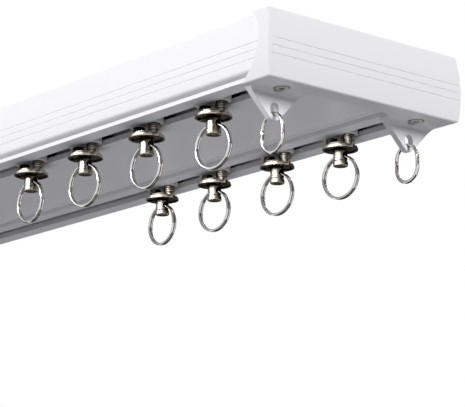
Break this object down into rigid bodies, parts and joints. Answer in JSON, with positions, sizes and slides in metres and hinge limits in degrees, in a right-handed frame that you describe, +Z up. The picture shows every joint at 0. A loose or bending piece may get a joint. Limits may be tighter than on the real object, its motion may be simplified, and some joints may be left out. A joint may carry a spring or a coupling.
{
  "type": "curtain track",
  "caption": "Double curtain track: a white twin-channel rail with moulded end caps, oval end links, and ball-bearing runners that carry split rings on swivels.",
  "frame": {"origin": "centre of the rail's top face, which meets the ceiling", "axes": "+X along the rail towards the end where the runners are gathered, +Y from the front channel to the back one, +Z up"},
  "size_m": [0.6, 0.1074, 0.0544],
  "materials": {
    "white_enamel": "satin powder coat on extruded aluminium",
    "white_plastic": "moulded plastic, soft gloss",
    "screw_steel": "nickel-plated steel",
    "zinc_steel": "zinc-plated steel",
    "link_wire": "bright nickel-plated wire",
    "chromed_zinc": "bright chrome on a zinc casting",
    "nylon": "natural white nylon",
    "blue_tyre": "dark blue moulded polyurethane, satin",
    "bearing_steel": "ground bearing steel",
    "ring_steel": "bright nickel-plated spring steel"
  },
  "bodies": {
    "track": {"rail": "white_enamel", "near_cap": "white_plastic", "near_cap_screws": "screw_steel", "near_clamp_plates": "zinc_steel", "far_cap": "white_plastic", "far_cap_screws": "screw_steel", "far_clamp_plates": "zinc_steel"},
    "near_front_link": {"near_front_link": "link_wire"},
    "near_back_link": {"near_back_link": "link_wire"},
    "far_front_link": {"far_front_link": "link_wire"},
    "far_back_link": {"far_back_link": "link_wire"},
    "front_1_carriage": {"front_1_carriage": "chromed_zinc", "front_1_sleeves": "nylon"},
    "front_1_wheels": {"front_1_tyres": "blue_tyre", "front_1_hubs": "bearing_steel"},
    "front_1_swivel": {"front_1_swivel": "chromed_zinc"},
    "front_1_ring": {"front_1_ring": "ring_steel"},
    "front_2_carriage": {"front_2_carriage": "chromed_zinc", "front_2_sleeves": "nylon"},
    "front_2_wheels": {"front_2_tyres": "blue_tyre", "front_2_hubs": "bearing_steel"},
    "front_2_swivel": {"front_2_swivel": "chromed_zinc"},
    "front_2_ring": {"front_2_ring": "ring_steel"},
    "front_3_carriage": {"front_3_carriage": "chromed_zinc", "front_3_sleeves": "nylon"},
    "front_3_wheels": {"front_3_tyres": "blue_tyre", "front_3_hubs": "bearing_steel"},
    "front_3_swivel": {"front_3_swivel": "chromed_zinc"},
    "front_3_ring": {"front_3_ring": "ring_steel"},
    "front_4_carriage": {"front_4_carriage": "chromed_zinc", "front_4_sleeves": "nylon"},
    "front_4_wheels": {"front_4_tyres": "blue_tyre", "front_4_hubs": "bearing_steel"},
    "front_4_swivel": {"front_4_swivel": "chromed_zinc"},
    "front_4_ring": {"front_4_ring": "ring_steel"},
    "back_1_carriage": {"back_1_carriage": "chromed_zinc", "back_1_sleeves": "nylon"},
    "back_1_wheels": {"back_1_tyres": "blue_tyre", "back_1_hubs": "bearing_steel"},
    "back_1_swivel": {"back_1_swivel": "chromed_zinc"},
    "back_1_ring": {"back_1_ring": "ring_steel"},
    "back_2_carriage": {"back_2_carriage": "chromed_zinc", "back_2_sleeves": "nylon"},
    "back_2_wheels": {"back_2_tyres": "blue_tyre", "back_2_hubs": "bearing_steel"},
    "back_2_swivel": {"back_2_swivel": "chromed_zinc"},
    "back_2_ring": {"back_2_ring": "ring_steel"},
    "back_3_carriage": {"back_3_carriage": "chromed_zinc", "back_3_sleeves": "nylon"},
    "back_3_wheels": {"back_3_tyres": "blue_tyre", "back_3_hubs": "bearing_steel"},
    "back_3_swivel": {"back_3_swivel": "chromed_zinc"},
    "back_3_ring": {"back_3_ring": "ring_steel"},
    "back_4_carriage": {"back_4_carriage": "chromed_zinc", "back_4_sleeves": "nylon"},
    "back_4_wheels": {"back_4_tyres": "blue_tyre", "back_4_hubs": "bearing_steel"},
    "back_4_swivel": {"back_4_swivel": "chromed_zinc"},
    "back_4_ring": {"back_4_ring": "ring_steel"}
  },
  "joints": [
    {"name": "near_front_link_swing", "type": "hinge", "parent": "track", "child": "near_front_link", "pos_m": [0.28365, -0.0375, -0.0368], "axis": [1, 0, 0], "range_deg": [-90, 90]},
    {"name": "near_back_link_swing", "type": "hinge", "parent": "track", "child": "near_back_link", "pos_m": [0.28365, 0.0375, -0.0368], "axis": [1, 0, 0], "range_deg": [-90, 90]},
    {"name": "far_front_link_swing", "type": "hinge", "parent": "track", "child": "far_front_link", "pos_m": [-0.28365, -0.0375, -0.0368], "axis": [1, 0, 0], "range_deg": [-90, 90]},
    {"name": "far_back_link_swing", "type": "hinge", "parent": "track", "child": "far_back_link", "pos_m": [-0.28365, 0.0375, -0.0368], "axis": [1, 0, 0], "range_deg": [-90, 90]},
    {"name": "front_1_roll", "type": "slide", "parent": "track", "child": "front_1_carriage", "axis": [1, 0, 0], "range_m": [-0.3854, 0.0205]},
    {"name": "front_1_wheel_spin", "type": "hinge", "parent": "front_1_carriage", "child": "front_1_wheels", "pos_m": [0.119, -0.0375, -0.01335], "axis": [0, 1, 0], "continuous": true},
    {"name": "front_1_swivel_turn", "type": "hinge", "parent": "front_1_carriage", "child": "front_1_swivel", "pos_m": [0.119, -0.0375, -0.0337], "axis": [0, 0, 1], "continuous": true},
    {"name": "front_1_ring_swing", "type": "hinge", "parent": "front_1_swivel", "child": "front_1_ring", "pos_m": [0.119, -0.0375, -0.0337], "axis": [0.9998, -0.0175, 0], "range_deg": [-90, 90]},
    {"name": "front_2_roll", "type": "slide", "parent": "track", "child": "front_2_carriage", "axis": [1, 0, 0], "range_m": [-0.0205, 0.023]},
    {"name": "front_2_wheel_spin", "type": "hinge", "parent": "front_2_carriage", "child": "front_2_wheels", "pos_m": [0.16, -0.0375, -0.01335], "axis": [0, 1, 0], "continuous": true},
    {"name": "front_2_swivel_turn", "type": "hinge", "parent": "front_2_carriage", "child": "front_2_swivel", "pos_m": [0.16, -0.0375, -0.0337], "axis": [0, 0, 1], "continuous": true},
    {"name": "front_2_ring_swing", "type": "hinge", "parent": "front_2_swivel", "child": "front_2_ring", "pos_m": [0.16, -0.0375, -0.0337], "axis": [0.9954, 0.0958, 0], "range_deg": [-90, 90]},
    {"name": "front_3_roll", "type": "slide", "parent": "track", "child": "front_3_carriage", "axis": [1, 0, 0], "range_m": [-0.023, 0.0235]},
    {"name": "front_3_wheel_spin", "type": "hinge", "parent": "front_3_carriage", "child": "front_3_wheels", "pos_m": [0.2035, -0.0375, -0.01335], "axis": [0, 1, 0], "continuous": true},
    {"name": "front_3_swivel_turn", "type": "hinge", "parent": "front_3_carriage", "child": "front_3_swivel", "pos_m": [0.2035, -0.0375, -0.0337], "axis": [0, 0, 1], "continuous": true},
    {"name": "front_3_ring_swing", "type": "hinge", "parent": "front_3_swivel", "child": "front_3_ring", "pos_m": [0.2035, -0.0375, -0.0337], "axis": [0.9989, 0.0471, 0], "range_deg": [-90, 90]},
    {"name": "front_4_roll", "type": "slide", "parent": "track", "child": "front_4_carriage", "axis": [1, 0, 0], "range_m": [-0.0235, 0.0189]},
    {"name": "front_4_wheel_spin", "type": "hinge", "parent": "front_4_carriage", "child": "front_4_wheels", "pos_m": [0.2475, -0.0375, -0.01335], "axis": [0, 1, 0], "continuous": true},
    {"name": "front_4_swivel_turn", "type": "hinge", "parent": "front_4_carriage", "child": "front_4_swivel", "pos_m": [0.2475, -0.0375, -0.0337], "axis": [0, 0, 1], "continuous": true},
    {"name": "front_4_ring_swing", "type": "hinge", "parent": "front_4_swivel", "child": "front_4_ring", "pos_m": [0.2475, -0.0375, -0.0337], "axis": [0.9925, 0.1219, 0], "range_deg": [-90, 90]},
    {"name": "back_1_roll", "type": "slide", "parent": "track", "child": "back_1_carriage", "axis": [1, 0, 0], "range_m": [-0.3869, 0.018]},
    {"name": "back_1_wheel_spin", "type": "hinge", "parent": "back_1_carriage", "child": "back_1_wheels", "pos_m": [0.1205, 0.0375, -0.01335], "axis": [0, 1, 0], "continuous": true},
    {"name": "back_1_swivel_turn", "type": "hinge", "parent": "back_1_carriage", "child": "back_1_swivel", "pos_m": [0.1205, 0.0375, -0.0337], "axis": [0, 0, 1], "continuous": true},
    {"name": "back_1_ring_swing", "type": "hinge", "parent": "back_1_swivel", "child": "back_1_ring", "pos_m": [0.1205, 0.0375, -0.0337], "axis": [0.9998, -0.0175, 0], "range_deg": [-90, 90]},
    {"name": "back_2_roll", "type": "slide", "parent": "track", "child": "back_2_carriage", "axis": [1, 0, 0], "range_m": [-0.018, 0.023]},
    {"name": "back_2_wheel_spin", "type": "hinge", "parent": "back_2_carriage", "child": "back_2_wheels", "pos_m": [0.159, 0.0375, -0.01335], "axis": [0, 1, 0], "continuous": true},
    {"name": "back_2_swivel_turn", "type": "hinge", "parent": "back_2_carriage", "child": "back_2_swivel", "pos_m": [0.159, 0.0375, -0.0337], "axis": [0, 0, 1], "continuous": true},
    {"name": "back_2_ring_swing", "type": "hinge", "parent": "back_2_swivel", "child": "back_2_ring", "pos_m": [0.159, 0.0375, -0.0337], "axis": [0.9972, 0.075, 0], "range_deg": [-90, 90]},
    {"name": "back_3_roll", "type": "slide", "parent": "track", "child": "back_3_carriage", "axis": [1, 0, 0], "range_m": [-0.023, 0.0205]},
    {"name": "back_3_wheel_spin", "type": "hinge", "parent": "back_3_carriage", "child": "back_3_wheels", "pos_m": [0.2025, 0.0375, -0.01335], "axis": [0, 1, 0], "continuous": true},
    {"name": "back_3_swivel_turn", "type": "hinge", "parent": "back_3_carriage", "child": "back_3_swivel", "pos_m": [0.2025, 0.0375, -0.0337], "axis": [0, 0, 1], "continuous": true},
    {"name": "back_3_ring_swing", "type": "hinge", "parent": "back_3_swivel", "child": "back_3_ring", "pos_m": [0.2025, 0.0375, -0.0337], "axis": [0.9978, 0.0663, 0], "range_deg": [-90, 90]},
    {"name": "back_4_roll", "type": "slide", "parent": "track", "child": "back_4_carriage", "axis": [1, 0, 0], "range_m": [-0.0205, 0.0229]},
    {"name": "back_4_wheel_spin", "type": "hinge", "parent": "back_4_carriage", "child": "back_4_wheels", "pos_m": [0.2435, 0.0375, -0.01335], "axis": [0, 1, 0], "continuous": true},
    {"name": "back_4_swivel_turn", "type": "hinge", "parent": "back_4_carriage", "child": "back_4_swivel", "pos_m": [0.2435, 0.0375, -0.0337], "axis": [0, 0, 1], "continuous": true},
    {"name": "back_4_ring_swing", "type": "hinge", "parent": "back_4_swivel", "child": "back_4_ring", "pos_m": [0.2435, 0.0375, -0.0337], "axis": [0.9914, 0.1305, 0], "range_deg": [-90, 90]}
  ],
  "couplings": [
    {"joint": "front_1_wheel_spin", "follows": "front_1_roll", "rad_per_m": 105.26},
    {"joint": "front_2_wheel_spin", "follows": "front_2_roll", "rad_per_m": 105.26},
    {"joint": "front_3_wheel_spin", "follows": "front_3_roll", "rad_per_m": 105.26},
    {"joint": "front_4_wheel_spin", "follows": "front_4_roll", "rad_per_m": 105.26},
    {"joint": "back_1_wheel_spin", "follows": "back_1_roll", "rad_per_m": 105.26},
    {"joint": "back_2_wheel_spin", "follows": "back_2_roll", "rad_per_m": 105.26},
    {"joint": "back_3_wheel_spin", "follows": "back_3_roll", "rad_per_m": 105.26},
    {"joint": "back_4_wheel_spin", "follows": "back_4_roll", "rad_per_m": 105.26}
  ]
}
